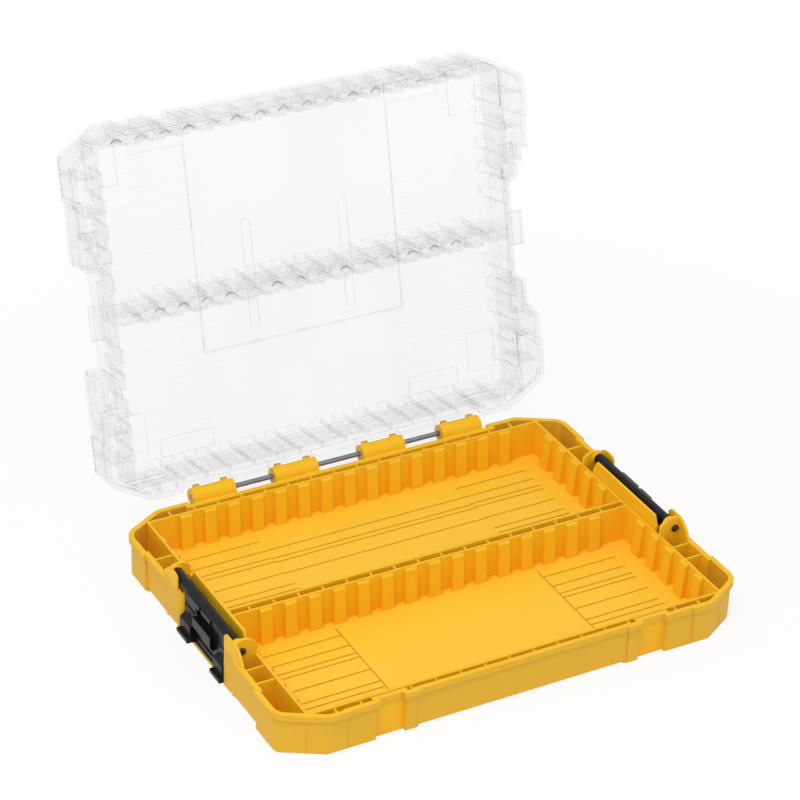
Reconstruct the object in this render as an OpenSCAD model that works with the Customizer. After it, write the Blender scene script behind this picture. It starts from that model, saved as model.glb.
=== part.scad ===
// Drill bit case: a double-walled base tray, a clear hinged lid, a steel hinge rod
// and two side latches on pins. The lid stands open and the latches hang down.
// X runs across the width, Y from the front edge to the hinge, Z up from the underside.

/* [Case] */
// Width of the case across the rim
case_w = 312; // [296:1:330]
// Depth of the case across the rim
case_d = 235; // [226:1:250]
// Height of the base tray
base_h = 27.5; // [26.5:0.5:30]
// Height of the lid
lid_h = 30.2; // [29:0.1:31]
// Angle the lid stands open at
lid_open = 103.7; // [90:0.1:103.7]

/* [Walls] */
// Thickness of the outer walls
outer_wall = 1.8; // [1.4:0.1:2.2]
// Thickness of the inner walls
inner_wall = 1.6; // [1.2:0.1:2.0]
// Thickness of the floor of the base
floor_t = 3; // [2.4:0.1:3.4]
// Thickness of the top of the lid
top_t = 2; // [1.6:0.1:2.4]
// Height of the lip around each rim
lip_h = 4; // [3:0.5:6]
// Distance the lip stands out from the wall
lip_step = 1.5; // [1:0.1:2]
// Bevel along the bottom edge of the base and the top edge of the lid
edge_bevel = 2.4; // [1:0.1:3]

/* [Corners] */
// Length of each cut corner along the width
corner_x = 27.5; // [24:0.5:32]
// Length of each cut corner along the depth
corner_y = 16; // [14:0.5:20]
// Rounding between a cut corner and the walls beside it
corner_r = 12; // [8:0.5:14]

/* [Compartments] */
// Width of the space between the outer rim and a side compartment wall
side_gap = 18.2; // [17.8:0.1:18.6]
// Width of the space between the front rim and the front compartment wall
front_gap = 9.2; // [8.4:0.1:12]
// Width of the space between the rear rim and the rear compartment wall
rear_gap = 11.3; // [10.8:0.1:14]
// Thickness of the double divider between the two compartments
divider_t = 7.5; // [6:0.1:10]
// Position of the divider along the depth
divider_y = -1.3; // [-6:0.1:6]

/* [Flutes] */
// Spacing of the ribs and flutes
pitch = 16.25; // [14:0.25:20]
// Width of each flute
flute_w = 8; // [6:0.5:9]
// Depth of a flute at the floor
flute_foot = 4.4; // [3.4:0.1:5]
// Depth of a flute at the rim
flute_head = 2.2; // [1.4:0.1:3]
// Thickness of the cross ribs
rib_t = 1.4; // [1:0.1:2]

/* [Hinge] */
// Radius of the hinge knuckles
knuckle_r = 5.6; // [5:0.1:6.2]
// Radius of the steel hinge rod
rod_r = 1.6; // [1.2:0.1:2]
// Distance of the hinge axis behind the rear rim
hinge_back = 3.8; // [3.4:0.1:5]
// Running clearance of the rod and the latch pins, on the radius
running = 0.05; // [0.03:0.01:0.08]
// Gap at each end of a knuckle
knuckle_gap = 0.5; // [0.3:0.1:0.9]

/* [Latches] */
// Radius of the barrel a latch turns on
barrel_r = 3.6; // [3.3:0.1:3.8]
// Radius of a latch pin
pin_r = 2; // [1.5:0.1:2.1]
// Height of a latch pin above the rim of the base
pin_rise = 4.3; // [4.1:0.1:4.6]
// Thickness of a latch panel
panel_t = 2.5; // [2:0.1:2.8]
// Thickness of the lip of each hook
hook_t = 3.2; // [2.4:0.1:3.4]
// Length of the catch tab on the lid
tab_len = 22; // [16:0.5:22]

/* [Hidden] */
$fn = 48;
hx = case_w / 2;
hy = case_d / 2;
rim_gap = 0.5;
lid_z = base_h + rim_gap;
top_z = lid_z + lid_h;
hinge_y = hy + hinge_back;
hinge_z = base_h;

// plan of the rim: cut corners rounded where they meet the walls
cut_a = atan2(corner_y, corner_x);
cut_n = [sin(cut_a), cos(cut_a)];
arc_a = [hx - corner_x - corner_r * tan(cut_a / 2), hy - corner_r];
arc_b = [hx - corner_r, hy - corner_y - corner_r * tan((90 - cut_a) / 2)];

// compartments
comp_x = hx - side_gap;
comp_front = -hy + front_gap;
comp_rear = hy - rear_gap;
div_front = divider_y - divider_t / 2;
div_rear = divider_y + divider_t / 2;
long_n = 2 * floor((comp_x - flute_w - 8) / pitch) + 1;
rib_n = 2 * floor((comp_x - 4) / pitch + 0.5);

// zones of the outer wall that are set back
front_zone = 115;
front_set = 0.8;
mid_zone = 69.5;
mid_set = 1.6;
notch_x0 = 80;
notch_x1 = 96;
notch_set = 3.6;
hinge_zone = 107;
hinge_set = 3.1;
side_zone = 75;
side_set = 1.5;

// zones of the front wall of the lid that are set back
lid_mid_set = 0.9;
lid_notch_a = [81.5, 96];
lid_notch_a_set = 3;
lid_notch_b = [107.5, 116.5];
lid_notch_b_set = 2.5;
lid_bevel = 1.5;
foot_bevel = 0.8;

// hinge knuckles, given as their near and far ends from the middle
knuckle_in = [16, 46.4];
knuckle_out = [74, 103];
rod_len = 205;
nose = [2.1, 4.5];
nose_w = 4;

// latches, measured from the middle of the case
fit = 0.3;
pin_x = hx - 8;
pin_z = base_h + pin_rise;
skin_x = hx - side_set - lip_step;
skin_t = skin_x - pin_x - barrel_r - fit;
barrel_y0 = -36.5;
barrel_y1 = 44;
open_y0 = -31;
open_y1 = 29.2;
open_turn = 4;
plate_x = comp_x + inner_wall;
plate_t = 2.2;
plate_top = pin_z + 4.7;
panel_y0 = open_y0 + 0.5;
panel_y1 = open_y1 - 1.5;
latch_reach = top_z - pin_z + fit + hook_t;
ledge_z = pin_z - latch_reach - 0.4;
ear_t = 2.2;
// each ear: its place along the depth, then the middle and the radius of its disc
ears = [[-44.4, hx - 9, base_h + 1.5, 10.4], [46, hx - 10.5, base_h - 0.1, 9.1]];
boss_r = 4.2;
skin_rise = [10.6, 9.9];
skin_turn = 3.5;
rear_skin_y = 33.5;

// parts of a latch, measured from its pin
stem_u = 6;
hook_u = 8.2;
front_hook = [panel_y0, -18];
rear_hook = [13.5, panel_y1];
lug_y = [-14, 10];
lug_foot = 18.3;
stop_u = 4.5;
stop_v = 1.4;
stop_a = [-11, 1];
stop_b = [4, 22];
window_y = 12;
window_top = 3.4;
window_foot = 8.5;
grip_y = 12;
grip_step = 2.6;

// lid beside the latches
recess_x = pin_x - 6.3;
recess_y0 = -31;
recess_y1 = 34.8;
recess_turn = [6, 3];
barrel_room = recess_y0 - 7.5;
shoulder_x = hx - 6.2;
shoulder_y0 = -55;
shoulder_y1 = 56.5;
shoulder_top = base_h + 11.8;
tab_z0 = pin_z + 5;
tab_z1 = pin_z + 7.4;
tab_u = 3.8;

// shallow panels in the top of the lid and grooves in the floor of the base
panel_d = 0.6;
panel_w = 36.5;
panel_l = 12;
long_slots = [-20, -31, -39.5, -44, -57.5, -70.2, -76];
short_slots = [80, 70.5, 66.2, 53];
slot_w = 52;

// ---- plan shapes ----

// a shape and its mirror image across the middle of the case
module both_sides() {
    children();
    mirror([1, 0, 0]) children();
}

// the rim outline moved in by a distance
module outline(inset) {
    r = corner_r - inset;
    quarter = [arc_b + [r, 0], arc_b + r * cut_n, arc_a + r * cut_n, arc_a + [0, r]];
    polygon(concat(
        [for (k = [0:3]) quarter[k]],
        [for (k = [3:-1:0]) [-quarter[k][0], quarter[k][1]]],
        [for (k = [0:3]) -quarter[k]],
        [for (k = [3:-1:0]) [quarter[k][0], -quarter[k][1]]]));
    for (sx = [-1, 1], sy = [-1, 1], c = [arc_a, arc_b])
        translate([sx * c[0], sy * c[1]]) circle(r);
}

// a plain rectangle given by its limits
module rect(x0, x1, y0, y1) {
    translate([x0, y0]) square([x1 - x0, y1 - y0]);
}

// the outline with its set-back zones, moved in by a distance
module shell_plan(inset) {
    difference() {
        outline(inset);
        rect(-front_zone - inset, front_zone + inset, -hy - 1, -hy + front_set + inset);
        rect(-mid_zone - inset, mid_zone + inset, -hy - 1, -hy + mid_set + inset);
        rect(-hinge_zone - inset, hinge_zone + inset, hy - hinge_set - inset, hy + 1);
        both_sides() {
            rect(notch_x0 - inset, notch_x1 + inset, -hy - 1, -hy + notch_set + inset);
            rect(hx - side_set - inset, hx + 1, -side_zone - inset, side_zone + inset);
        }
    }
}

// the plan of the lid walls, moved in by a distance: full to the rim at the front and corners
module lid_plan(inset) {
    side = hx - lip_step - inset;
    difference() {
        intersection() {
            outline(inset);
            rect(-side, side, -hy - 1, hy - lip_step - inset);
        }
        rect(-mid_zone - inset, mid_zone + inset, -hy - 1, -hy + lid_mid_set + inset);
        rect(-hinge_zone - inset, hinge_zone + inset,
            hy - hinge_set - lip_step - inset, hy + 1);
        both_sides() {
            rect(lid_notch_a[0] - inset, lid_notch_a[1] + inset,
                -hy - 1, -hy + lid_notch_a_set + inset);
            rect(lid_notch_b[0] - inset, lid_notch_b[1] + inset,
                -hy - 1, -hy + lid_notch_b_set + inset);
            rect(skin_x - inset, hx + 1, -side_zone - inset, side_zone + inset);
        }
    }
}

// the plan of the walls of the base or of the lid, moved in by a distance
module body_plan(is_lid, inset) {
    if (is_lid) lid_plan(inset);
    else shell_plan(lip_step + inset);
}

// ---- shared shell of the base and the lid, floor down ----

// slab that bevels one straight stretch of the floor edge, given its half length
module bevel_slab(turn, dist, size, half) {
    rotate([0, 0, turn]) translate([dist - size, 0, 0]) rotate([0, 45, 0])
        translate([0, -half, -20]) cube([20, 2 * half, 40]);
}

// a row of flutes standing on a wall that faces +Y, tapering towards the rim
module flute_row(n, h) {
    span = n * pitch;
    intersection() {
        translate([-span / 2, 0, 0]) rotate([90, 0, 90]) linear_extrude(span)
            polygon([[-0.5, 0], [flute_foot, 0], [flute_head, h - 1.6],
                [flute_head - 1, h - 0.6], [-0.5, h - 0.6]]);
        linear_extrude(h) for (k = [0:n - 1])
            translate([(k - (n - 1) / 2) * pitch - flute_w / 2, -1])
                square([flute_w, flute_foot + 2]);
    }
}

// flutes of one compartment between two walls
module compartment_flutes(y0, y1, h) {
    side_n = floor((y1 - y0 - 10) / pitch);
    translate([0, y0, 0]) flute_row(long_n, h);
    translate([0, y1, 0]) rotate([0, 0, 180]) flute_row(long_n, h);
    for (s = [-1, 1])
        translate([s * comp_x, (y0 + y1) / 2, 0]) rotate([0, 0, 90 * s]) flute_row(side_n, h);
}

// cross ribs in the gaps between the inner and outer walls
module gap_ribs() {
    for (k = [0:rib_n - 1]) {
        x = (k - (rib_n - 1) / 2) * pitch;
        rect(x - rib_t / 2, x + rib_t / 2, -hy, comp_front - 1);
        rect(x - rib_t / 2, x + rib_t / 2, comp_rear + 1, hy);
        rect(x - rib_t / 2, x + rib_t / 2, div_front + 1, div_rear - 1);
    }
}

// ribs across the side gaps, at given places along the depth
module side_ribs(places) {
    both_sides() for (y = places)
        rect(comp_x + 1, hx, y - rib_t / 2, y + rib_t / 2);
}

module tray_shell(h, bottom, rib_places, is_lid) {
    difference() {
        union() {
            linear_extrude(bottom) body_plan(is_lid, 0);
            linear_extrude(h - (is_lid ? 0 : lip_h)) difference() {
                body_plan(is_lid, 0);
                body_plan(is_lid, outer_wall);
            }
            translate([0, 0, h - lip_h]) linear_extrude(lip_h) difference() {
                shell_plan(0);
                shell_plan(lip_step + outer_wall);
            }
            linear_extrude(h) difference() {
                rect(-comp_x - inner_wall, comp_x + inner_wall,
                    comp_front - inner_wall, comp_rear + inner_wall);
                rect(-comp_x, comp_x, comp_front, div_front);
                rect(-comp_x, comp_x, div_rear, comp_rear);
                rect(-comp_x - 0.1, comp_x + 0.1,
                    div_front + inner_wall, div_rear - inner_wall);
            }
            linear_extrude(h - 1) intersection() {
                union() {
                    gap_ribs();
                    side_ribs(rib_places);
                }
                body_plan(is_lid, outer_wall / 2);
            }
            compartment_flutes(comp_front, div_front, h);
            compartment_flutes(div_rear, comp_rear, h);
        }
        for (t = [0, 180])
            bevel_slab(t, skin_x, edge_bevel, is_lid ? hx : side_zone);
        bevel_slab(90, hy - lip_step - hinge_set, edge_bevel,
            is_lid ? hx : hinge_zone);
        if (is_lid)
            bevel_slab(-90, hy, lid_bevel, hx);
        else {
            for (t = [0, 180])
                bevel_slab(t, hx - lip_step, foot_bevel, hx);
            bevel_slab(90, hy - lip_step, foot_bevel, hx);
            bevel_slab(-90, hy - lip_step - 0.3, foot_bevel, hx);
            bevel_slab(-90, hy - lip_step - front_set, edge_bevel, mid_zone);
        }
        for (sx = [-1, 1], sy = [-1, 1]) {
            turn = atan2(sy * cut_n[1], sx * cut_n[0]);
            reach = arc_b[0] * cut_n[0] + arc_b[1] * cut_n[1] + corner_r;
            bevel_slab(turn, is_lid ? reach : reach - lip_step,
                is_lid ? lid_bevel : foot_bevel, hx);
        }
    }
}

// ---- hinge ----

module along_x(r, x0, x1) {
    translate([x0, hinge_y, hinge_z]) rotate([0, 90, 0]) cylinder(r = r, h = x1 - x0);
}

// one base knuckle with its web and the two noses the open lid leans on
module base_knuckle(x0, x1) {
    slope = tan(lid_open - 90);
    stand = (hinge_back + hinge_set) / cos(lid_open - 90) - fit;
    along_x(knuckle_r, x0, x1);
    translate([x0, 0, 0]) rotate([90, 0, 90]) linear_extrude(x1 - x0) {
        polygon([[hy - hinge_set - outer_wall - 1, hinge_z - 12],
            [hy - hinge_set, hinge_z - 12], [hinge_y, hinge_z - knuckle_r],
            [hinge_y, hinge_z - 0.2], [hy - hinge_set - outer_wall - 1, hinge_z - 0.2]]);
    }
    for (x = [x0 + 3, x1 - 3 - nose_w])
        translate([x, 0, 0]) rotate([90, 0, 90]) linear_extrude(nose_w)
            polygon([[hinge_y, hinge_z + 2], [hinge_y + nose[1], hinge_z + 2],
                [hinge_y + nose[1], hinge_z + stand - nose[1] * slope],
                [hinge_y + nose[0], hinge_z + stand - nose[0] * slope],
                [hinge_y, hinge_z + 4]]);
}

module lid_knuckle(x0, x1) {
    along_x(knuckle_r, x0, x1);
    translate([x0, hy - hinge_set - outer_wall - 1, lid_z + 0.3])
        cube([x1 - x0, hinge_back + hinge_set + outer_wall + 1, knuckle_r - 0.8]);
}

// ---- latch mounting on the base, drawn for the right side ----

// runs a shape drawn in X and Z along Y between two places
module along_y(y0, y1) {
    translate([0, y1, 0]) rotate([90, 0, 0]) linear_extrude(y1 - y0) children();
}

// runs a shape drawn in Y and Z along X between two places
module from_x(x0, x1) {
    translate([x0, 0, 0]) rotate([90, 0, 90]) linear_extrude(x1 - x0) children();
}

module ear_plan(e) {
    intersection() {
        union() {
            translate([e[1], e[2]]) circle(e[3]);
            rect(plate_x - 1, skin_x, 1, e[2]);
        }
        rect(comp_x + 0.2, skin_x, 1, base_h + 20);
    }
}

// outline in Y and Z of the raised wall in front of the barrel
module front_skin() {
    top = base_h + skin_rise[0];
    polygon([[-54.7, base_h - 1.5], [-54.7, base_h - 0.2], [-53.9, base_h + 1.5],
        [-51.6, base_h + 5], [-48.9, base_h + 7.9], [-46.4, top - 0.9], [-43.5, top],
        [open_y0 - skin_turn, top], [open_y0 - skin_turn, top - skin_turn],
        [open_y0, top - skin_turn], [open_y0, 1], [-40, 1], [-40, base_h - 1.5]]);
    translate([open_y0 - skin_turn, top - skin_turn]) circle(skin_turn);
}

// outline in Y and Z of the raised wall behind the barrel
module rear_skin() {
    top = base_h + skin_rise[1];
    y = rear_skin_y + skin_turn;
    polygon([[54.7, base_h - 1.5], [54.5, base_h + 0.5], [52.5, base_h + 2.7],
        [49.9, base_h + 5.4], [47.5, base_h + 7.7], [45.6, top - 0.9], [42, top],
        [y, top], [y, top - skin_turn], [rear_skin_y, top - skin_turn],
        [rear_skin_y, base_h - 1.5]]);
    translate([y, top - skin_turn]) circle(skin_turn);
}

// plan of the pocket a latch hangs in, with its rounded rear edge
module pocket_plan() {
    rect(plate_x + 0.2, hx + 14, open_y0, open_y1);
    difference() {
        rect(skin_x - open_turn, hx + 14, open_y1 - 1, open_y1 + open_turn);
        translate([skin_x - open_turn, open_y1 + open_turn]) circle(open_turn);
    }
}

module latch_mount() {
    for (e = ears)
        along_y(e[0], e[0] + ear_t) ear_plan(e);
    along_y(ears[0][0] + ear_t - 0.5, barrel_y0 - 0.5) translate([pin_x, pin_z]) circle(boss_r);
    along_y(barrel_y1 + 0.5, ears[1][0] + 0.5) translate([pin_x, pin_z]) circle(boss_r);
    // raised plate behind the barrel, clear of the lid above the rim
    from_x(plate_x - 0.4, plate_x + plate_t)
        rect(-36, 38, 1, base_h - 0.5);
    from_x(plate_x + 0.4, plate_x + plate_t)
        polygon([[-36, 1], [-36, base_h + 2], [-32.5, plate_top],
            [34.5, plate_top], [38, base_h + 2], [38, 1]]);
    from_x(skin_x - skin_t, skin_x) {
        front_skin();
        rear_skin();
    }
    from_x(skin_x - outer_wall, skin_x) {
        intersection() {
            front_skin();
            rect(-hy, ears[0][0] + 1, 0, 2 * base_h);
        }
        intersection() {
            rear_skin();
            rect(ears[1][0] + 1, hy, 0, 2 * base_h);
        }
    }
    // side walls of the pocket
    translate([0, 0, 1]) linear_extrude(base_h - 2) {
        rect(plate_x, skin_x - 0.2, open_y0 - outer_wall, open_y0);
        rect(plate_x, skin_x - open_turn, open_y1, open_y1 + outer_wall);
        intersection() {
            translate([skin_x - open_turn, open_y1 + open_turn]) difference() {
                circle(open_turn);
                circle(open_turn - outer_wall);
            }
            rect(skin_x - open_turn, skin_x, open_y1, open_y1 + open_turn);
        }
    }
    for (y = [-27, 17])
        translate([plate_x + plate_t - 1, y, ledge_z - 0.3])
            cube([pin_x - fit - plate_x - plate_t + 1, 2, 10]);
}

module base_tray() {
    color("gold") difference() {
        union() {
            difference() {
                tray_shell(base_h, floor_t, [-69.5, -55.5, 69.5], false);
                both_sides() {
                    translate([0, 0, ledge_z]) linear_extrude(base_h) pocket_plan();
                    translate([hx - 3.5, open_y0, -1])
                        cube([10, open_y1 - open_y0, base_h]);
                    // the rim lip fades out beside the latches
                    translate([0, 0, base_h - lip_h - 1]) linear_extrude(lip_h + 2)
                        polygon([[skin_x, ears[0][0] + 0.9], [hx + 1, ears[0][0] - 11.1],
                            [hx + 1, ears[1][0] + 10.3], [skin_x, ears[1][0] - 1]]);
                }
            }
            both_sides() {
                latch_mount();
                base_knuckle(knuckle_in[0], knuckle_in[1]);
                base_knuckle(knuckle_out[0], knuckle_out[1]);
            }
        }
        along_x(rod_r + running, -hx, hx);
        both_sides() {
            along_y(ears[0][0] - 1, ears[1][0] + ear_t + 1)
                translate([pin_x, pin_z]) circle(pin_r + running);
            // shallow grooves that mark out the floor of each compartment
            for (shift = [0, 111], y = long_slots)
                translate([mid_zone + 1, y + shift - 0.5, floor_t - 0.5])
                    cube([slot_w, 1, 2]);
            translate([mid_zone + 0.2, comp_front + 6, floor_t - 0.5])
                cube([0.8, 90, 2]);
        }
        for (y = short_slots)
            translate([-mid_zone - 2, y - 0.5, floor_t - 0.5])
                cube([2 * mid_zone + 4, 1, 2]);
    }
}

// ---- lid, drawn closed over the base ----

module lid_closed() {
    difference() {
        union() {
            difference() {
                translate([0, 0, top_z]) mirror([0, 0, 1])
                    tray_shell(lid_h, top_t, [-92, -69.5, 69.5, 88], true);
                both_sides() {
                    translate([shoulder_x, shoulder_y0, lid_z - 1])
                        cube([20, shoulder_y1 - shoulder_y0, shoulder_top - lid_z + 1]);
                    translate([recess_x - 1, barrel_room, lid_z - 1])
                        cube([40, recess_y1 - barrel_room, shoulder_top - lid_z + 1]);
                    translate([0, 0, lid_z - 1]) linear_extrude(lid_h + 2) recess_plan(0);
                }
            }
            both_sides() lid_side();
            lid_knuckle(-knuckle_in[0] + knuckle_gap, knuckle_in[0] - knuckle_gap);
            both_sides()
                lid_knuckle(knuckle_in[1] + knuckle_gap, knuckle_out[0] - knuckle_gap);
        }
        along_x(rod_r + running, -hx, hx);
        both_sides() lid_side_cuts();
        lid_top_cuts();
    }
    // catch tabs
    both_sides() translate([recess_x - 1, -tab_len / 2, tab_z0])
        cube([pin_x + tab_u - recess_x + 1, tab_len, tab_z1 - tab_z0]);
}

// plan of the recess a raised latch lies in, grown by a distance
module recess_plan(grow) {
    rect(recess_x - grow, hx + 14, recess_y0 - grow, recess_y1 + grow);
    for (c = [[recess_y0 - recess_turn[0], recess_turn[0], 0],
            [recess_y1 + recess_turn[1], recess_turn[1], -recess_turn[1]]])
        difference() {
            translate([skin_x - c[1], c[0] + c[2]]) square([c[1] + 5, c[1]]);
            translate([skin_x - c[1], c[0]]) circle(c[1] - grow);
        }
}

// walls of the shoulders and the recess beside a latch
module lid_side() {
    translate([0, 0, lid_z]) linear_extrude(shoulder_top - lid_z + 1) {
        rect(shoulder_x - outer_wall, shoulder_x, shoulder_y0 - 1, barrel_room);
        rect(shoulder_x - outer_wall, shoulder_x, recess_y1 + 3, shoulder_y1 + 1);
        rect(comp_x + 1, shoulder_x, barrel_room - outer_wall, barrel_room);
        rect(shoulder_x - outer_wall, skin_x - 0.2, shoulder_y0 - outer_wall, shoulder_y0);
        rect(shoulder_x - outer_wall, skin_x - 0.2, shoulder_y1, shoulder_y1 + outer_wall);
    }
    // ledge over the shoulders
    translate([0, 0, shoulder_top]) linear_extrude(outer_wall) difference() {
        rect(comp_x + 1, skin_x - 0.2, shoulder_y0 - 1, shoulder_y1 + 1);
        recess_plan(0);
    }
    // side walls of the recess, kept below the bevel at their outer ends
    for (w = [[skin_x, top_z - edge_bevel], [skin_x - edge_bevel - 0.2, top_z - 1]])
        translate([0, 0, shoulder_top]) linear_extrude(w[1] - shoulder_top) difference() {
            intersection() {
                recess_plan(outer_wall);
                rect(comp_x + 1, w[0], -hy, hy);
            }
            recess_plan(0);
        }
    translate([comp_x + 1, barrel_room - 1, lid_z])
        cube([recess_x - comp_x - 1, recess_y1 - barrel_room + 2, lid_h]);
}

// room for the ears, the raised plate and the barrel of a latch
module lid_side_cuts() {
    reach = [[ears[0][0] - 2.2, barrel_y0 + 0.5], [barrel_y1 - 1.5, ears[1][0] + ear_t + 2.2]];
    for (k = [0, 1])
        along_y(reach[k][0], reach[k][1]) {
            translate([ears[k][1], ears[k][2]]) circle(ears[k][3] + 0.8);
            rect(ears[k][1] - ears[k][3] - 0.8, hx + 5, lid_z - 5, ears[k][2]);
        }
    translate([plate_x + 0.05, barrel_y0 - 0.5, lid_z - 1])
        cube([30, barrel_y1 + 3 - barrel_y0 + 0.5, tab_z0 + 0.4 - lid_z + 1]);
}

// a shallow rectangular panel in the top of the lid, given by its limits
module top_panel(x0, x1, y0, y1) {
    translate([0, 0, top_z - panel_d]) linear_extrude(2) rect(x0, x1, y0, y1);
}

// shallow panels pressed into the top of the lid
module lid_top_cuts() {
    both_sides() {
        top_panel(mid_zone + 1, mid_zone + 1 + panel_w, -106, -106 + panel_l);
        top_panel(mid_zone + 1, mid_zone + 1 + panel_w, 90.5, 90.5 + panel_l);
        top_panel(115.5, comp_x - 2.3, -106, -77);
        top_panel(115.5, comp_x - 2.3, 70.5, 96.5);
        translate([34, -36, top_z - panel_d]) cylinder(r = 3, h = 2);
        translate([34, 30, top_z - panel_d]) cylinder(r = 3, h = 2);
        top_panel(31, 37, -36, 30);
        top_panel(mid_zone + 0.5, mid_zone + 1.3, -102, 41);
    }
    top_panel(-mid_zone - 1.3, mid_zone + 1.3, 41, 41.8);
}

module lid() {
    color("whitesmoke", 0.5) translate([0, hinge_y, hinge_z]) rotate([-lid_open, 0, 0])
        translate([0, -hinge_y, -hinge_z]) lid_closed();
}

module hinge_rod() {
    color("silver") along_x(rod_r, -rod_len / 2, rod_len / 2);
}

// ---- latch, drawn for the right side around its pin, hanging down ----

module latch_body() {
    difference() {
        union() {
            along_y(barrel_y0, barrel_y1) circle(barrel_r);
            along_y(panel_y0, panel_y1)
                polygon([[0, -latch_reach], [panel_t, -latch_reach],
                    [panel_t, -2], [0, -1]]);
            // hooks that close over the top of the lid
            for (y = [front_hook, rear_hook]) along_y(y[0], y[1])
                hook_shape();
            // lug that snaps over the catch tab
            along_y(lug_y[0], lug_y[1])
                polygon([[panel_t - 0.1, -window_foot], [stem_u, -window_foot],
                    [stem_u, 3.3 - lug_foot], [stem_u - 1.5, -lug_foot],
                    [panel_t - 0.1, -lug_foot]]);
            // stops on the barrel
            for (y = [stop_a, stop_b]) along_y(y[0], y[1])
                rect(2, stop_u, -stop_v, stop_v);
            // grip ridges
            for (w = [0:2]) along_y(-grip_y, grip_y)
                translate([0, grip_step * (w + 1) - latch_reach]) rect(-1.2, 0.1, -0.1, 1.1);
        }
        along_y(barrel_y0 - 1, barrel_y1 + 1) circle(pin_r + running);
        along_y(-window_y, window_y) rect(-2, panel_t + 0.01, -window_foot, -window_top);
    }
}

// outline of a hook in X and Z: a stem with a lip at its foot and rounded outer corners
module hook_shape() {
    polygon([[panel_t - 0.1, -16.5], [stem_u, -19], [stem_u, hook_t - latch_reach],
        [hook_u, hook_t - latch_reach], [hook_u, 1 - latch_reach],
        [hook_u - 1, -latch_reach], [panel_t - 0.1, -latch_reach]]);
    translate([hook_u - 1, 1 - latch_reach]) circle(1);
}

module latch_right() {
    color("dimgray") translate([pin_x, 0, pin_z]) latch_body();
}

module latch_left() {
    color("dimgray") mirror([1, 0, 0]) translate([pin_x, 0, pin_z]) latch_body();
}

module latch_pin(side) {
    translate([side * pin_x, ears[0][0] + 1, pin_z]) rotate([-90, 0, 0])
        cylinder(r = pin_r, h = ears[1][0] + ear_t - ears[0][0] - 2);
}

module latch_pin_left() {
    color("gray") latch_pin(-1);
}

module latch_pin_right() {
    color("gray") latch_pin(1);
}

base_tray();
lid();
hinge_rod();
latch_left();
latch_right();
latch_pin_left();
latch_pin_right();
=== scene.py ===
"""Looks of a drill bit case: a moulded tray, a clear lid, two side latches and their metal pins.

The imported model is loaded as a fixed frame. The operators below give each part its finish, add the
pin heads and the raised lines of the latches, and set the stage. Everything is in metres, in the
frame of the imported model.
"""
import math

import bmesh
import bpy
from bpy.props import FloatProperty, FloatVectorProperty, IntProperty, PointerProperty
from mathutils import Matrix, Vector


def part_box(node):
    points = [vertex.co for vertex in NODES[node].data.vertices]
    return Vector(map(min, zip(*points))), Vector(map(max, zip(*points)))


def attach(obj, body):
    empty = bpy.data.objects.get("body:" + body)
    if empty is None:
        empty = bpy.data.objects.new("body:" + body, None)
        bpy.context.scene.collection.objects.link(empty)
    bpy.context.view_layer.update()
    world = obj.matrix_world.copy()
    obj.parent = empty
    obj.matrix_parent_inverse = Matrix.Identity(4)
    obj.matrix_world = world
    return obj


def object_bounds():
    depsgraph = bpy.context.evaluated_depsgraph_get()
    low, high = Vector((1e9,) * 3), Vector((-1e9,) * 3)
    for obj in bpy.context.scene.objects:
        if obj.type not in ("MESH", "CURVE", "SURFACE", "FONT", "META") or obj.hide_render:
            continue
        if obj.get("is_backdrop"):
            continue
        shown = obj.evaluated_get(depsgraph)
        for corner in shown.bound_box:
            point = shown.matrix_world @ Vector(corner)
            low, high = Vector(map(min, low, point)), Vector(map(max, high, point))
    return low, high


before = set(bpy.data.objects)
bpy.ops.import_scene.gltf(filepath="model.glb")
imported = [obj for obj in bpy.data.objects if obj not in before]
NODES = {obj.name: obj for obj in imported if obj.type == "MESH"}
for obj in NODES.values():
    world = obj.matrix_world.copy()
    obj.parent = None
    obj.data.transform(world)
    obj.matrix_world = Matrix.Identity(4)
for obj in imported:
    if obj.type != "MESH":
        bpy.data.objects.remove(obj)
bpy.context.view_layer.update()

bl_info = {
    "name": "Drill bit case",
    "version": (1, 0, 0),
    "blender": (4, 5, 0),
    "location": "View3D > Sidebar > Bit case",
    "description": "Finishes, moulded details and stage of a drill bit case",
    "category": "Object",
}

MM = 0.001


def middle(node):
    """The middle of a node's box"""
    low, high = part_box(node)
    return (low + high) / 2


# ---- places on the tray ----

TRAY_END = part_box("base_tray")[1].x
TRAY_FRONT = -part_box("base_tray")[0].y
# how much of each corner is cut off, along x and along y
CORNER = (27.5 * MM, 16 * MM)
# how far in from the outline the outer skin with its painted shade ends, and its top edge below the
# hinge knuckles
SKIN_DEPTH = 4.05 * MM
SKIN_TOP = 27.65 * MM
# the floor, the heights between which a groove in it lies, and how far out there are grooves
FLOOR = 3 * MM
GROOVE_TOP = FLOOR - 0.135 * MM
GROOVE_BED = FLOOR - 0.7 * MM
GROOVES_END = 137.55 * MM
GROOVES_FRONT = 110.5 * MM
# where the painted shade low between the walls is half way to full
DEEP = 11.5 * MM
# the noses on the hinge knuckles, which the open lid leans on
NOSE_FOOT = 33.4 * MM
NOSE_FRONT = 112.5 * MM

# ---- places on the lid, when it is closed ----

HINGE = (0, middle("hinge_rod").y, middle("hinge_rod").z)
LID_OPEN = math.radians(103.7)
LID_INSIDE = 56.2 * MM
LID_OUTSIDE = 58.2 * MM
# the flutes: their spacing, the walls that they stand on, the end of a long row, and the middles of
# the two rows along each end
FLUTE_PITCH = 16.25 * MM
FLUTE_WALL_X = 137.8 * MM
FLUTE_WALLS_Y = (-108.3 * MM, 2.45 * MM)
FLUTE_ROW_END = 118.75 * MM
FLUTE_MIDDLES = (-56.675 * MM, 54.325 * MM)
# the painted dark arc at the foot of a flute, in mm: its bend, how far off the wall it starts and
# ends, and half its length
ARC_BEND = 0.16
ARC_START = 3.05
ARC_END = 4.65
ARC_HALF = 3.7
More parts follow.
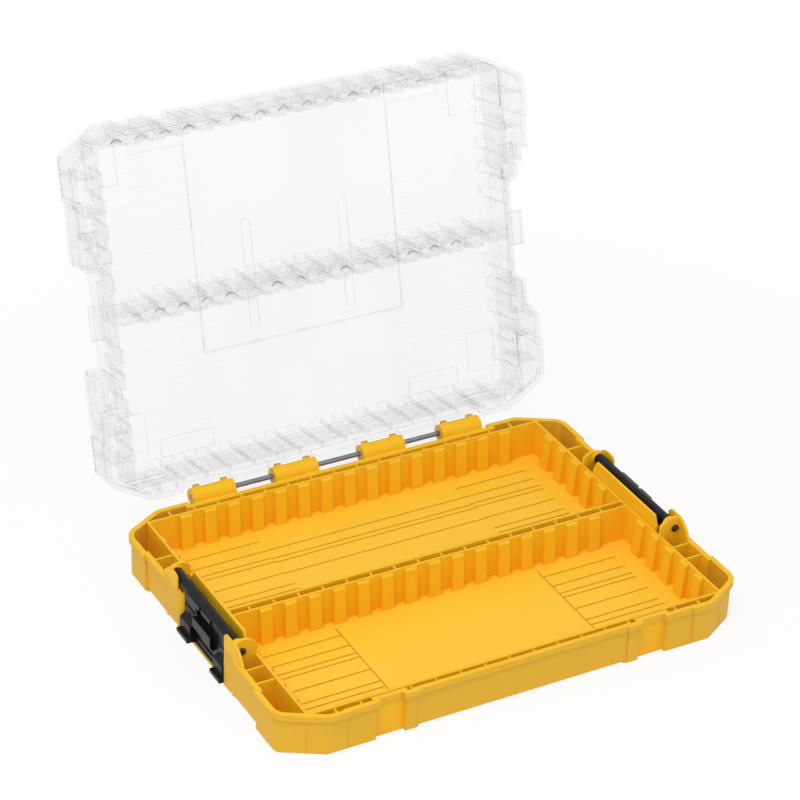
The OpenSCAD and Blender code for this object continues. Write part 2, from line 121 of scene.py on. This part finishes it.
# the faint painted lines on the top, a painted reflection of the floor grooves: half their spacing,
# half their width, and where they start and end
LINE_REACH = 5.2 * MM
LINE_HALF = 0.25 * MM
LINES_START = 61.5 * MM
LINES_END = 125 * MM
LINES_FRONT = 98.5 * MM
# the most surfaces of clear plastic that one line of sight goes through
CLEAR_LAYERS = 64

# ---- places on the latches ----

LATCHES = ("latch_left", "latch_right")
LATCH_PINS = ("latch_pin_left", "latch_pin_right")
PIN = middle("latch_pin_right")
# the outer face of a latch's panel, and how far a raised line is sunk into it
PANEL_FACE = PIN.x + 2.5 * MM
LINE_ROOT = 0.3 * MM
# the ends of the raised lines along y: on the middle of a panel, and over its front and rear hooks
LINE_MIDDLE = (-17.6 * MM, 13.1 * MM)
LINE_FRONT_HOOK = (-29.8 * MM, -18.2 * MM)
LINE_REAR_HOOK = (13.8 * MM, 27.2 * MM)
HOOK_LINE_Z = 21 * MM
# a pin head: how thick its plain part is and how far in front of the pin's end its middle lies, and
# for each ring towards its centre, how wide that ring is and how much it rises
HEAD_THICK = 1.4 * MM
HEAD_AHEAD = 1.2 * MM
HEAD_RINGS = ((0.5 * MM, 0.35 * MM), (0.8 * MM, 0.2 * MM), (0.35 * MM, -0.25 * MM))

# ---- the stage ----

GROUND_SIZE = 12
GROUND_CELLS = 24
GROUND_GAP = 0.02 * MM
# the squares of the distances from the case at which the floor starts and ends growing paler
GROUND_NEAR = 0.06
GROUND_FAR = 0.45
# name, width and place of each lamp, and the point that they light
LAMPS = (("key", 0.9, (-0.55, -0.48, 1.30)), ("fill", 1.1, (1.15, -0.85, 0.85)))
LAMP_AIM = Vector((0, 0, 0.04))
# the camera: its place, and in degrees its turn from +y, how far down it looks and its roll
CAMERA_PLACE = (-0.75247, -1.28087, 1.03104)
CAMERA_TURN = -29.6
CAMERA_DOWN = 31.046
CAMERA_ROLL = 2.199
CAMERA_SENSOR = 36
CAMERA_RANGE = (0.05, 50)


# ---- settings ----


def colour(label, text, value):
    return FloatVectorProperty(name=label, description=text, default=value, size=3,
                               subtype="COLOR", min=0, max=1)


def length(label, text, value):
    return FloatProperty(name=label, description=text, default=value, min=0, precision=5,
                         unit="LENGTH", subtype="DISTANCE")


def share(label, text, value):
    return FloatProperty(name=label, description=text, default=value, min=0, max=1, precision=3,
                         subtype="FACTOR")


class CaseColours(bpy.types.PropertyGroup):
    """Colours of the mouldings and the metal, and of the light and shade painted on the tray and the
    lid
    """

    tray: colour("Tray", "Colour of the tray plastic", (0.940, 0.530, 0.010))
    # painted light: the floors face up to the lamps and are painted paler
    tray_floor_light: colour("Tray floor", "Colour of the compartment floors", (0.985, 0.600, 0.035))
    # painted shade: the outer skin is painted duller and darker, as the light falls on it
    tray_outside_shade: colour("Tray outside", "Colour of the duller outer skin", (0.800, 0.455, 0.028))
    # painted shade low down between the walls
    tray_deep_shade: colour("Tray depths", "Colour low down between the walls", (0.960, 0.440, 0.004))
    # painted shade in the floor grooves; the stop noses take the same darker colour
    tray_groove_shade_and_noses: colour("Grooves", "Colour of the grooves and the stop noses", (0.700, 0.290, 0.004))
    tray_cloud: colour("Tray clouds", "Colour of the paler clouds", (1.000, 0.660, 0.100))
    # painted highlight along the upper edges
    tray_edge_highlight: colour("Tray edges", "Colour of the edges that catch the light", (1.000, 0.680, 0.160))
    lid: colour("Lid", "Tint of the clear plastic", (0.420, 0.430, 0.440))
    # painted shade: the dark edges where the thick plastic bends the light
    lid_edge_shade: colour("Lid edge", "Tint of the edges of the clear plastic", (0.160, 0.163, 0.168))
    latch: colour("Latch", "Colour of the latch plastic", (0.0055, 0.0055, 0.006))
    latch_rubbed: colour("Latch rubbed", "Colour of its rubbed places", (0.050, 0.049, 0.047))
    rod: colour("Rod", "Colour of the hinge rod", (0.240, 0.245, 0.265))
    rod_spots: colour("Rod spots", "Colour of the dull spots on the rod", (0.200, 0.190, 0.180))
    pin: colour("Pin", "Colour of the blackened latch pins", (0.060, 0.060, 0.065))
    pin_rubbed: colour("Pin rubbed", "Colour of the rubbed pins", (0.160, 0.155, 0.150))


class CaseLid(bpy.types.PropertyGroup):
    """How much each feature of the clear lid hides what is behind it"""

    film: share("Film", "The bare plastic", 0.036)
    # painted shade: fine dark lines along all edges
    edges: share("Edges", "The fine lines along all edges", 0.36)
    # painted shade: wider dark lines along the sharpest edges
    corners: share("Corners", "The wider lines along the sharpest edges", 0.17)
    # painted shade: dark arcs where the thick plastic at the flute feet bends the light
    arcs: share("Arcs", "The dark arcs at the feet of the flutes", 0.60)
    end_arcs: share("End arcs", "Strength of the arcs along both ends", 0.25)
    # painted reflection of the floor grooves
    lines: share("Lines", "The faint lines on the top", 0.05)
    clouds: share("Clouds", "The grey clouds on the walls", 0.055)
    specks: share("Specks", "The dark specks on the walls", 0.34)
    flow: share("Flow", "The streaks left by moulding", 0.02)


class CaseDetails(bpy.types.PropertyGroup):
    """Sizes of the small moulded details"""

    grain: length("Grain", "Size of the moulded grain", 0.45 * MM)
    grain_depth: length("Grain depth", "Depth of the moulded grain", 0.02 * MM)
    line_edge: length("Line edge", "Rounding of the raised lines", 0.1 * MM)
    head_radius: length("Pin head", "Radius of the head of a latch pin", 2.4 * MM)
    head_sides: IntProperty(name="Pin head sides", description="Faces round a pin head",
                            default=40, min=12, max=96)


class CaseStage(bpy.types.PropertyGroup):
    """Camera and lamps"""

    lens: FloatProperty(name="Lens", description="Focal length of the camera", default=132.68,
                        min=20, max=300, unit="CAMERA")
    ambient: FloatProperty(name="Ambient", description="Strength of the even light", default=0.60,
                           min=0, max=2)
    key: FloatProperty(name="Key lamp", description="Power of the main lamp", default=9.6,
                       min=0, max=50, unit="POWER")
    fill: FloatProperty(name="Fill lamp", description="Power of the second lamp", default=1.2,
                        min=0, max=50, unit="POWER")


def tint(name):
    """A colour of the settings, as a material takes it"""
    return (*getattr(bpy.context.scene.case_colours, name), 1)


def details():
    return bpy.context.scene.case_details


# ---- shader maths ----

# the sockets of a colour Mix node, which share their names with others
MIX_SHARE, MIX_FIRST, MIX_SECOND, MIX_RESULT = 0, 6, 7, 2


class Wire:
    """A value in a material. Arithmetic on it adds Math nodes."""

    def __init__(self, sheet, socket):
        self.sheet = sheet
        self.socket = socket

    def _math(self, operation, first, second):
        return self.sheet.node("ShaderNodeMath", {"operation": operation}, {0: first, 1: second})

    def __add__(self, other):
        return self._math("ADD", self, other)

    __radd__ = __add__

    def __sub__(self, other):
        return self._math("SUBTRACT", self, other)

    def __rsub__(self, other):
        return self._math("SUBTRACT", other, self)

    def __mul__(self, other):
        return self._math("MULTIPLY", self, other)

    __rmul__ = __mul__

    def __truediv__(self, other):
        return self._math("DIVIDE", self, other)

    def least(self, other):
        return self._math("MINIMUM", self, other)

    def most(self, other):
        return self._math("MAXIMUM", self, other)

    def power(self, other):
        return self._math("POWER", self, other)

    def size(self):
        return self.sheet.node("ShaderNodeMath", {"operation": "ABSOLUTE"}, {0: self})

    def ramp(self, low, high, first=0.0, last=1.0):
        """Smooth step from first at low to last at high"""
        return self.sheet.node("ShaderNodeMapRange", {"interpolation_type": "SMOOTHSTEP"},
                               {0: self, 1: low, 2: high, 3: first, 4: last})

    def above(self, level, soft):
        """1 above a level and 0 below it, with a smooth step that is twice soft wide"""
        return self.ramp(level - soft, level + soft)

    def below(self, level, soft):
        """1 below a level and 0 above it, with a smooth step that is twice soft wide"""
        return self.ramp(level + soft, level - soft)


class Sheet:
    """The nodes of one material or world"""

    def __init__(self, tree):
        self.tree = tree
        tree.nodes.clear()

    def node(self, kind, settings=None, values=None, output=0):
        """Adds a node with its settings and its inputs, and gives one of its outputs"""
        made = self.tree.nodes.new(kind)
        for key, value in (settings or {}).items():
            setattr(made, key, value)
        for key, value in (values or {}).items():
            if isinstance(value, Wire):
                self.tree.links.new(value.socket, made.inputs[key])
            else:
                made.inputs[key].default_value = value
        return Wire(self, made.outputs[output]) if len(made.outputs) else None

    def place(self, stretch=None):
        """The place in the object's own space, with each of its parts multiplied by stretch"""
        spot = self.node("ShaderNodeTexCoord", output="Object")
        if stretch is None:
            return spot
        return self.node("ShaderNodeVectorMath", {"operation": "MULTIPLY"}, {0: spot, 1: stretch})

    def facing(self):
        """The surface normal in the object's own space"""
        return self.node("ShaderNodeTexCoord", output="Normal")

    def split(self, vector):
        return [self.node("ShaderNodeSeparateXYZ", None, {0: vector}, k) for k in range(3)]

    def turned(self, vector, angle, centre=(0, 0, 0)):
        """The three parts of a vector, turned about a line along x"""
        return self.split(self.node("ShaderNodeVectorRotate", {"rotation_type": "X_AXIS"},
                                    {"Vector": vector, "Center": centre, "Angle": angle}))

    def ping_pong(self, value, reach):
        """Distance of a value to the nearest of the places 0, 2 * reach, 4 * reach, and so on"""
        return self.node("ShaderNodeMath", {"operation": "PINGPONG"}, {0: value, 1: reach})

    def noise(self, spot, scale, detail=2.0, rough=0.5):
        return self.node("ShaderNodeTexNoise", None,
                         {"Vector": spot, "Scale": scale, "Detail": detail, "Roughness": rough})

    def blend(self, share_of_second, first, second):
        return self.node("ShaderNodeMix", {"data_type": "RGBA"},
                         {MIX_SHARE: share_of_second, MIX_FIRST: first, MIX_SECOND: second},
                         MIX_RESULT)

    def bump(self, height, depth, strength, over=None):
        values = {"Height": height, "Distance": depth, "Strength": strength}
        if over:
            values["Normal"] = over
        return self.node("ShaderNodeBump", None, values)

    def rounded(self, radius):
        """The normal of a surface whose sharp edges are rounded off"""
        return self.node("ShaderNodeBevel", {"samples": 4}, {"Radius": radius})

    def edge_line(self, radius, low=0.02, high=0.22):
        """1 along the sharp edges, 0 away from them"""
        flat = self.node("ShaderNodeNewGeometry", output="True Normal")
        turn = self.node("ShaderNodeVectorMath", {"operation": "DOT_PRODUCT"},
                         {0: self.rounded(radius), 1: flat}, "Value")
        return (1 - turn.size()).ramp(low, high)

    def looked_at(self):
        """1 where the camera sees this directly, through clear plastic or in a gloss"""
        direct, gloss, through = [self.node("ShaderNodeLightPath", output=f"Is {kind} Ray")
                                  for kind in ("Camera", "Glossy", "Transmission")]
        return direct.most(gloss).most(through)

    def principled(self, values):
        self.finish(self.node("ShaderNodeBsdfPrincipled", None, values))

    def finish(self, shader, kind="ShaderNodeOutputMaterial"):
        self.node(kind, None, {0: shader})


def new_material(name, use):
    material = bpy.data.materials.new(name)
    material.use_nodes = True
    use(Sheet(material.node_tree))
    return material


# ---- finishes ----


def depth_in(x, y):
    """How far in a point of the tray lies from the outline with its cut corners"""
    from_end = TRAY_END - x.size()
    from_front = TRAY_FRONT - y.size()
    across = Vector((CORNER[1], CORNER[0])).normalized()
    from_corner = across.x * (from_end - CORNER[0]) + across.y * from_front
    return from_end.least(from_front).least(from_corner)


def tray_plastic(s):
    """Warm moulded plastic: fine grain, floors painted paler where they face up to the light,
    painted shade low between the walls, in the grooves and on the outer skin, and painted highlights
    on the upper edges
    """
    spot = s.place()
    x, y, z = s.split(spot)
    up = s.split(s.facing())[2]
    steep = 1 - up.above(0.55, 0.25)
    inside = depth_in(x, y).above(SKIN_DEPTH, 0.55 * MM)
    within = x.size().below(GROOVES_END, 0.15 * MM) * y.size().below(GROOVES_FRONT, 0.5 * MM)

    # painted light: the low surfaces that face up are painted paler
    floor = up.above(0.91, 0.06) * z.below(FLOOR + 0.7 * MM, 0.5 * MM)
    # painted shade low down between the walls, on the steep inner faces
    deep_shade = z.below(DEEP, 8.5 * MM) * steep * inside
    # painted shade in the grooves of the floor
    groove = z.below(GROOVE_TOP, 0.115 * MM) * z.above(GROOVE_BED, 0.1 * MM) * within
    nose = z.above(NOSE_FOOT, 0.2 * MM) * y.above(NOSE_FRONT, 0.5 * MM)
    # painted shade on the steep outer skin, varied by fine streaks
    skin = (1 - inside) * steep * z.below(SKIN_TOP, 0.25 * MM)
    # painted highlight along the edges that face up
    edge_highlight = s.edge_line(0.7 * MM) * up.above(0.1, 0.3)

    cloud = s.noise(spot, 14, 3, 0.55)
    flow = s.noise(s.place((1, 3, 8)), 40)
    streak = s.noise(s.place((1, 1, 0.03)), 700)
    shade = s.blend(floor, tint("tray"), tint("tray_floor_light"))
    shade = s.blend((0.85 * groove).most(0.8 * nose), shade, tint("tray_groove_shade_and_noses"))
    shade = s.blend(0.45 * deep_shade, shade, tint("tray_deep_shade"))
    shade = s.blend(0.08 * cloud.above(0.525, 0.175), shade, tint("tray_cloud"))
    shade = s.blend(skin * (0.75 + 0.25 * streak), shade, tint("tray_outside_shade"))
    shade = s.blend(0.30 * edge_highlight, shade, tint("tray_edge_highlight"))

    grain = s.noise(spot, 1 / details().grain, 3, 0.6)
    fine = s.noise(spot, 3 / details().grain)
    height = 0.8 * grain + 0.35 * fine + 0.5 * flow
    s.principled({
        "Base Color": shade,
        "Roughness": 0.46 + 0.10 * cloud + 0.06 * flow - 0.04 * floor - 0.08 * edge_highlight,
        "Normal": s.bump(height, details().grain_depth, 0.55, s.rounded(0.45 * MM)),
        "IOR": 1.34})


def flute_feet(s, x, y, z):
    """Dark arcs at the feet of the flutes of the lid, where the thick plastic bends the light"""

    def arc(out, along):
        off = s.ping_pong(along, FLUTE_PITCH / 2) / MM
        rise = out / MM - ARC_BEND * off * off
        return rise.above(ARC_START, 0.25) * rise.below(ARC_END, 0.35) * off.below(ARC_HALF, 0.3)

    def of_row(places):
        return places[0] + (places[1] - places[0]) * rear

    rear = y.above(0, 0.5 * MM)
    long_rows = arc(y - of_row(FLUTE_WALLS_Y), x) * x.size().below(FLUTE_ROW_END, 0.25 * MM)
    end_rows = arc(FLUTE_WALL_X - x.size(), y - of_row(FLUTE_MIDDLES))
    uneven = s.noise(s.place(), 45, 1).ramp(0.35, 0.62, 0.3, 1.0)
    on_top = z.above(LID_OUTSIDE - 0.85 * MM, 0.05 * MM)
    return long_rows.most(bpy.context.scene.case_lid.end_arcs * end_rows) * uneven * on_top


def lid_mottle(s):
    """Uneven grey and small dark specks on the walls of the lid, off its flat top"""
    lid = bpy.context.scene.case_lid
    wall = s.turned(s.facing(), LID_OPEN)[2].size().below(0.55, 0.25)
    cloud = s.noise(s.place(), 330, 3, 0.65)
    speck = s.noise(s.place((1, 1, 1.6)), 240, 1)
    return wall * (0.006 + lid.clouds * cloud.above(0.54, 0.12) + lid.specks * speck.above(0.74, 0.02))


def lid_groove_reflection(s, x, y, z):
    """Faint painted lines across both ends of the lid's top, a painted reflection of the floor grooves
    """
    line = s.ping_pong(y, LINE_REACH).below(LINE_HALF, 0.1 * MM)
    ends = x.size().above(LINES_START, 0.5 * MM) * x.size().below(LINES_END, 1 * MM)
    inner = (z - LID_INSIDE).size().below(0.075 * MM, 0.025 * MM)
    return line * ends * inner * y.size().below(LINES_FRONT, 0.5 * MM)


def clear_plastic(s):
    """Clear moulded plastic: almost nothing face on, with painted grey edges where the thick plastic
    bends the light, and a gloss
    """
    lid = bpy.context.scene.case_lid
    spot = s.place()
    x, y, z = s.turned(spot, LID_OPEN, HINGE)
    grazing = s.node("ShaderNodeLayerWeight", None, {"Blend": 0.5}, "Facing").power(4)
    flow = s.noise(s.place((1, 1, 0.4)), 22)
    haze = s.noise(spot, 160, 3, 0.6)
    patch = s.noise(spot, 130, 1, 0.4).above(0.545, 0.075)
    # painted shade along all edges, wider at the sharpest corners, where the thick plastic bends the
    # light
    edge = s.edge_line(0.45 * MM, 0.04, 0.26)
    corner = s.edge_line(1.8 * MM, 0.31, 0.40)
    # painted dark arcs at the flute feet
    foot = flute_feet(s, x, y, z)
    thick = lid.film + grazing * (0.05 + 0.12 * patch) + lid.edges * edge * (0.35 + 0.8 * patch)
    thick = thick + lid.corners * corner + lid.arcs * foot + lid.lines * lid_groove_reflection(s, x, y, z)
    thick = thick + lid_mottle(s) + lid.flow * flow.above(0.575, 0.175)
    s.principled({
        # the painted shade of the edges, corners and flute arcs takes the darker edge tint
        "Base Color": s.blend(edge.most(foot).most(corner), tint("lid"), tint("lid_edge_shade")),
        "Alpha": thick.least(1),
        "Roughness": 0.10 + 0.05 * haze,
        "Normal": s.bump(0.7 * flow + 0.05 * haze, 0.35 * MM, 0.4, s.rounded(0.5 * MM)),
        "IOR": 1.49})


def latch_plastic(s):
    """Black moulded plastic with a fine spark texture and paler rubbed edges"""
    spot = s.place()
    spark = s.noise(spot, 2600, 2, 0.7)
    rub = s.noise(spot, 60, 4, 0.6)
    worn = (0.5 * rub.above(0.635, 0.115) + 0.5 * s.edge_line(0.5 * MM)).least(1)
    s.principled({
        "Base Color": s.blend(0.30 * worn, tint("latch"), tint("latch_rubbed")),
        "Roughness": 0.26 + 0.14 * worn + 0.10 * spark,
        "Normal": s.bump(0.7 * spark + 1.2 * rub, 0.04 * MM, 0.7, s.rounded(0.5 * MM)),
        "IOR": 1.28})


def drawn_steel(s):
    """Drawn steel rod with fine lines along its length"""
    lines = s.noise(s.place((0.02, 1, 1)), 5200, 2, 0.6)
    spots = s.noise(s.place(), 220, 3, 0.6)
    s.principled({
        "Base Color": s.blend(0.4 * spots.above(0.65, 0.15), tint("rod"), tint("rod_spots")),
        "Metallic": 1,
        "Roughness": 0.24 + 0.16 * lines,
        "Normal": s.bump(lines, 0.008 * MM, 0.8)})


def black_steel(s):
    """Blackened steel with turning marks"""
    rings = s.noise(s.place((1, 0.05, 1)), 4200, 2, 0.6)
    rub = s.noise(s.place(), 300, 3, 0.6)
    s.principled({
        "Base Color": s.blend(0.5 * rub.above(0.625, 0.125), tint("pin"), tint("pin_rubbed")),
        "Metallic": 0.9,
        "Roughness": 0.36 + 0.14 * rings,
        "Normal": s.bump(rings, 0.01 * MM, 0.8)})


def pale_floor(s):
    """Matt near-white floor that keeps the shadow and grows paler away from the case"""
    x, y, _ = s.split(s.place())
    far = (x * x + y * y).ramp(GROUND_NEAR, GROUND_FAR)
    speck = s.noise(s.place(), 300)
    matt = s.node("ShaderNodeBsdfDiffuse", None, {
        "Color": s.blend(0.05 * speck, (0.93, 0.93, 0.93, 1), (0.90, 0.90, 0.90, 1))})
    white = s.node("ShaderNodeEmission", None, {"Color": (1, 1, 1, 1), "Strength": 1})
    s.finish(s.node("ShaderNodeMixShader", None,
                    {0: s.looked_at() * (0.84 + 0.16 * far), 1: matt, 2: white}))


def dress(piece, material):
    """Gives all the material slots of a piece one material"""
    if not piece.material_slots:
        piece.data.materials.append(material)
    for slot in piece.material_slots:
        slot.material = material


def material_of(name, use):
    """A material, made once and then used again"""
    return bpy.data.materials.get(name) or new_material(name, use)


def latch_material():
    return material_of("latch_moulding", latch_plastic)


def pin_material():
    return material_of("pin_steel_black", black_steel)


# ---- modelling helpers ----


def deselect_all():
    if bpy.context.object and bpy.context.object.mode != "OBJECT":
        bpy.ops.object.mode_set(mode="OBJECT")
    bpy.ops.object.select_all(action="DESELECT")


def begin(name):
    """Names the new primitive, puts its place in its mesh and opens it in edit mode"""
    piece = bpy.context.object
    piece.name = piece.data.name = name
    bpy.ops.object.transform_apply(location=True, rotation=True, scale=True)
    bpy.ops.object.mode_set(mode="EDIT")
    return piece


def pick_faces(piece, test):
    """Selects the faces whose normal passes a test"""
    bpy.ops.mesh.select_all(action="DESELECT")
    bpy.ops.mesh.select_mode(type="FACE")
    mesh = bmesh.from_edit_mesh(piece.data)
    for face in mesh.faces:
        face.select_set(test(face.normal))
    mesh.select_flush_mode()
    bmesh.update_edit_mesh(piece.data)


def end(piece, angle):
    """Closes a piece: normals outwards, faces smooth up to an angle"""
    bpy.ops.mesh.select_mode(type="VERT")
    bpy.ops.mesh.select_all(action="SELECT")
    bpy.ops.mesh.remove_doubles(threshold=1e-6)
    bpy.ops.mesh.normals_make_consistent(inside=False)
    bpy.ops.object.mode_set(mode="OBJECT")
    bpy.ops.object.shade_smooth_by_angle(angle=math.radians(angle))
    return piece


def block(name, low, high):
    """A box between two corners, open in edit mode with everything selected"""
    low, high = Vector(low), Vector(high)
    deselect_all()
    bpy.ops.mesh.primitive_cube_add(size=1, location=(low + high) / 2)
    bpy.context.object.scale = high - low
    return begin(name)


def soften(width):
    """Bevels all the edges of the piece in edit mode"""
    bpy.ops.mesh.select_mode(type="EDGE")
    bpy.ops.mesh.select_all(action="SELECT")
    bpy.ops.mesh.bevel(offset=width, segments=2, affect="EDGES", clamp_overlap=True)


def left_twin(piece):
    """A copy of a right-hand piece with its own mesh, mirrored across the middle of the case"""
    twin = piece.copy()
    twin.data = piece.data.copy()
    twin.name = twin.data.name = piece.name.replace("right", "left")
    bpy.context.scene.collection.objects.link(twin)
    twin.data.transform(Matrix.Diagonal((-1, 1, 1, 1)))
    deselect_all()
    twin.select_set(True)
    bpy.context.view_layer.objects.active = twin
    bpy.ops.object.mode_set(mode="EDIT")
    bpy.ops.mesh.select_all(action="SELECT")
    bpy.ops.mesh.normals_make_consistent(inside=False)
    bpy.ops.object.mode_set(mode="OBJECT")
    return twin


def fit_out(piece, material, body):
    dress(piece, material)
    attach(piece, body)


# ---- operators ----


class CASE_OT_mouldings(bpy.types.Operator):
    """Give the tray, the lid and the latches their plastics"""

    bl_idname = "case.mouldings"
    bl_label = "Finish the mouldings"

    def execute(self, context):
        dress(NODES["base_tray"], material_of("tray_moulding", tray_plastic))
        dress(NODES["lid"], material_of("lid_moulding", clear_plastic))
        for node in LATCHES:
            dress(NODES[node], latch_material())
        return {"FINISHED"}


class CASE_OT_metal(bpy.types.Operator):
    """Give the hinge rod and the latch pins their steel"""

    bl_idname = "case.metal"
    bl_label = "Finish the metal"

    def execute(self, context):
        dress(NODES["hinge_rod"], material_of("rod_steel_drawn", drawn_steel))
        for node in LATCH_PINS:
            dress(NODES[node], pin_material())
        return {"FINISHED"}


class CASE_OT_pin_heads(bpy.types.Operator):
    """Add the heads of the latch pins in the front ears"""

    bl_idname = "case.pin_heads"
    bl_label = "Add the pin heads"

    def execute(self, context):
        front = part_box("latch_pin_right")[0].y
        deselect_all()
        bpy.ops.mesh.primitive_cylinder_add(
            vertices=details().head_sides, radius=details().head_radius, depth=HEAD_THICK,
            location=(PIN.x, front - HEAD_AHEAD, PIN.z), rotation=(math.radians(90), 0, 0))
        head = begin("pin_head_right_front")
        pick_faces(head, lambda normal: normal.y < -0.9)
        for width, rise in HEAD_RINGS:
            bpy.ops.mesh.inset(thickness=width, depth=rise)
        end(head, 35)
        for piece in (head, left_twin(head)):
            fit_out(piece, pin_material(), "base")
        return {"FINISHED"}


class CASE_OT_latch_lines(bpy.types.Operator):
    """Add the raised lines on each latch panel"""

    bl_idname = "case.latch_lines"
    bl_label = "Add the latch lines"

    def execute(self, context):
        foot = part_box("latch_right")[0].z
        wide, narrow = 1.2 * MM, 1 * MM
        lines = (
            (LINE_MIDDLE, foot + 4.6 * MM, wide, 0.6 * MM),
            (LINE_MIDDLE, foot + 0.3 * MM, wide, 0.5 * MM),
            (LINE_FRONT_HOOK, HOOK_LINE_Z, narrow, 0.5 * MM),
            (LINE_REAR_HOOK, HOOK_LINE_Z, narrow, 0.5 * MM))
        bars = [self.bar(k, *line) for k, line in enumerate(lines)]
        for bar in bars:
            twin = left_twin(bar)
            fit_out(bar, latch_material(), "latch_right")
            fit_out(twin, latch_material(), "latch_left")
        return {"FINISHED"}

    def bar(self, k, ends, z, width, proud):
        """One raised line of the right latch, with a narrower crest"""
        bar = block(f"latch_line_right_{k}", (PANEL_FACE - LINE_ROOT, ends[0], z),
                    (PANEL_FACE + proud, ends[1], z + width))
        pick_faces(bar, lambda normal: normal.x > 0.9)
        bpy.ops.mesh.inset(thickness=0.2 * MM, depth=0.1 * MM)
        soften(details().line_edge)
        return end(bar, 40)


class CASE_OT_stage(bpy.types.Operator):
    """Set the floor, the even light, the lamps and the camera"""

    bl_idname = "case.stage"
    bl_label = "Set the stage"

    def execute(self, context):
        self.floor()
        self.world(context)
        self.lamps(context)
        self.camera(context)
        context.scene.view_settings.view_transform = "Standard"
        context.scene.cycles.transparent_max_bounces = CLEAR_LAYERS
        return {"FINISHED"}

    def floor(self):
        deselect_all()
        bpy.ops.mesh.primitive_grid_add(
            x_subdivisions=GROUND_CELLS, y_subdivisions=GROUND_CELLS, size=GROUND_SIZE,
            location=(0, 0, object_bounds()[0].z - GROUND_GAP))
        ground = bpy.context.object
        ground.name = "ground"
        bpy.ops.object.transform_apply(location=True, rotation=True, scale=True)
        dress(ground, new_material("pale_floor", pale_floor))
        ground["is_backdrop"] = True

    def world(self, context):
        world = bpy.data.worlds.new("studio")
        world.use_nodes = True
        context.scene.world = world
        s = Sheet(world.node_tree)
        even, white = [s.node("ShaderNodeBackground", None, {"Color": (1, 1, 1, 1), "Strength": power})
                       for power in (context.scene.case_stage.ambient, 1)]
        s.finish(s.node("ShaderNodeMixShader", None, {0: s.looked_at(), 1: even, 2: white}),
                 "ShaderNodeOutputWorld")

    def lamps(self, context):
        for name, size, spot in LAMPS:
            lamp = bpy.data.lights.new(f"{name}_lamp", "AREA")
            lamp.energy = getattr(context.scene.case_stage, name)
            lamp.size = size
            holder = bpy.data.objects.new(f"{name}_lamp", lamp)
            holder.location = spot
            holder.rotation_euler = (LAMP_AIM - Vector(spot)).to_track_quat("-Z", "Y").to_euler()
            context.scene.collection.objects.link(holder)

    def camera(self, context):
        lens = bpy.data.cameras.new("camera")
        lens.lens = context.scene.case_stage.lens
        lens.sensor_width = CAMERA_SENSOR
        lens.clip_start, lens.clip_end = CAMERA_RANGE
        holder = bpy.data.objects.new("camera", lens)
        turn = Matrix.Rotation(math.radians(CAMERA_TURN), 4, "Z")
        tilt = Matrix.Rotation(math.radians(90 - CAMERA_DOWN), 4, "X")
        roll = Matrix.Rotation(math.radians(CAMERA_ROLL), 4, "Z")
        holder.matrix_world = Matrix.Translation(CAMERA_PLACE) @ turn @ tilt @ roll
        context.scene.collection.objects.link(holder)
        context.scene.camera = holder


class CASE_PT_panel(bpy.types.Panel):
    """The settings and the steps that dress the case, in order"""

    bl_idname = "CASE_PT_panel"
    bl_label = "Drill bit case"
    bl_space_type = "VIEW_3D"
    bl_region_type = "UI"
    bl_category = "Bit case"

    def draw(self, context):
        scene = context.scene
        for group in (scene.case_colours, scene.case_lid, scene.case_details, scene.case_stage):
            box = self.layout.box()
            for key in group.__annotations__:
                box.prop(group, key)
        for step in STEPS:
            self.layout.operator(step.bl_idname)


STEPS = (CASE_OT_mouldings, CASE_OT_metal, CASE_OT_pin_heads, CASE_OT_latch_lines,
         CASE_OT_stage)
CLASSES = (CaseColours, CaseLid, CaseDetails, CaseStage, *STEPS, CASE_PT_panel)


def register():
    for each in CLASSES:
        bpy.utils.register_class(each)
    bpy.types.Scene.case_colours = PointerProperty(type=CaseColours)
    bpy.types.Scene.case_lid = PointerProperty(type=CaseLid)
    bpy.types.Scene.case_details = PointerProperty(type=CaseDetails)
    bpy.types.Scene.case_stage = PointerProperty(type=CaseStage)


def unregister():
    del bpy.types.Scene.case_stage
    del bpy.types.Scene.case_details
    del bpy.types.Scene.case_lid
    del bpy.types.Scene.case_colours
    for each in reversed(CLASSES):
        bpy.utils.unregister_class(each)


def main():
    register()
    bpy.ops.case.mouldings()
    bpy.ops.case.metal()
    bpy.ops.case.pin_heads()
    bpy.ops.case.latch_lines()
    bpy.ops.case.stage()


if __name__ == "__main__":
    main()
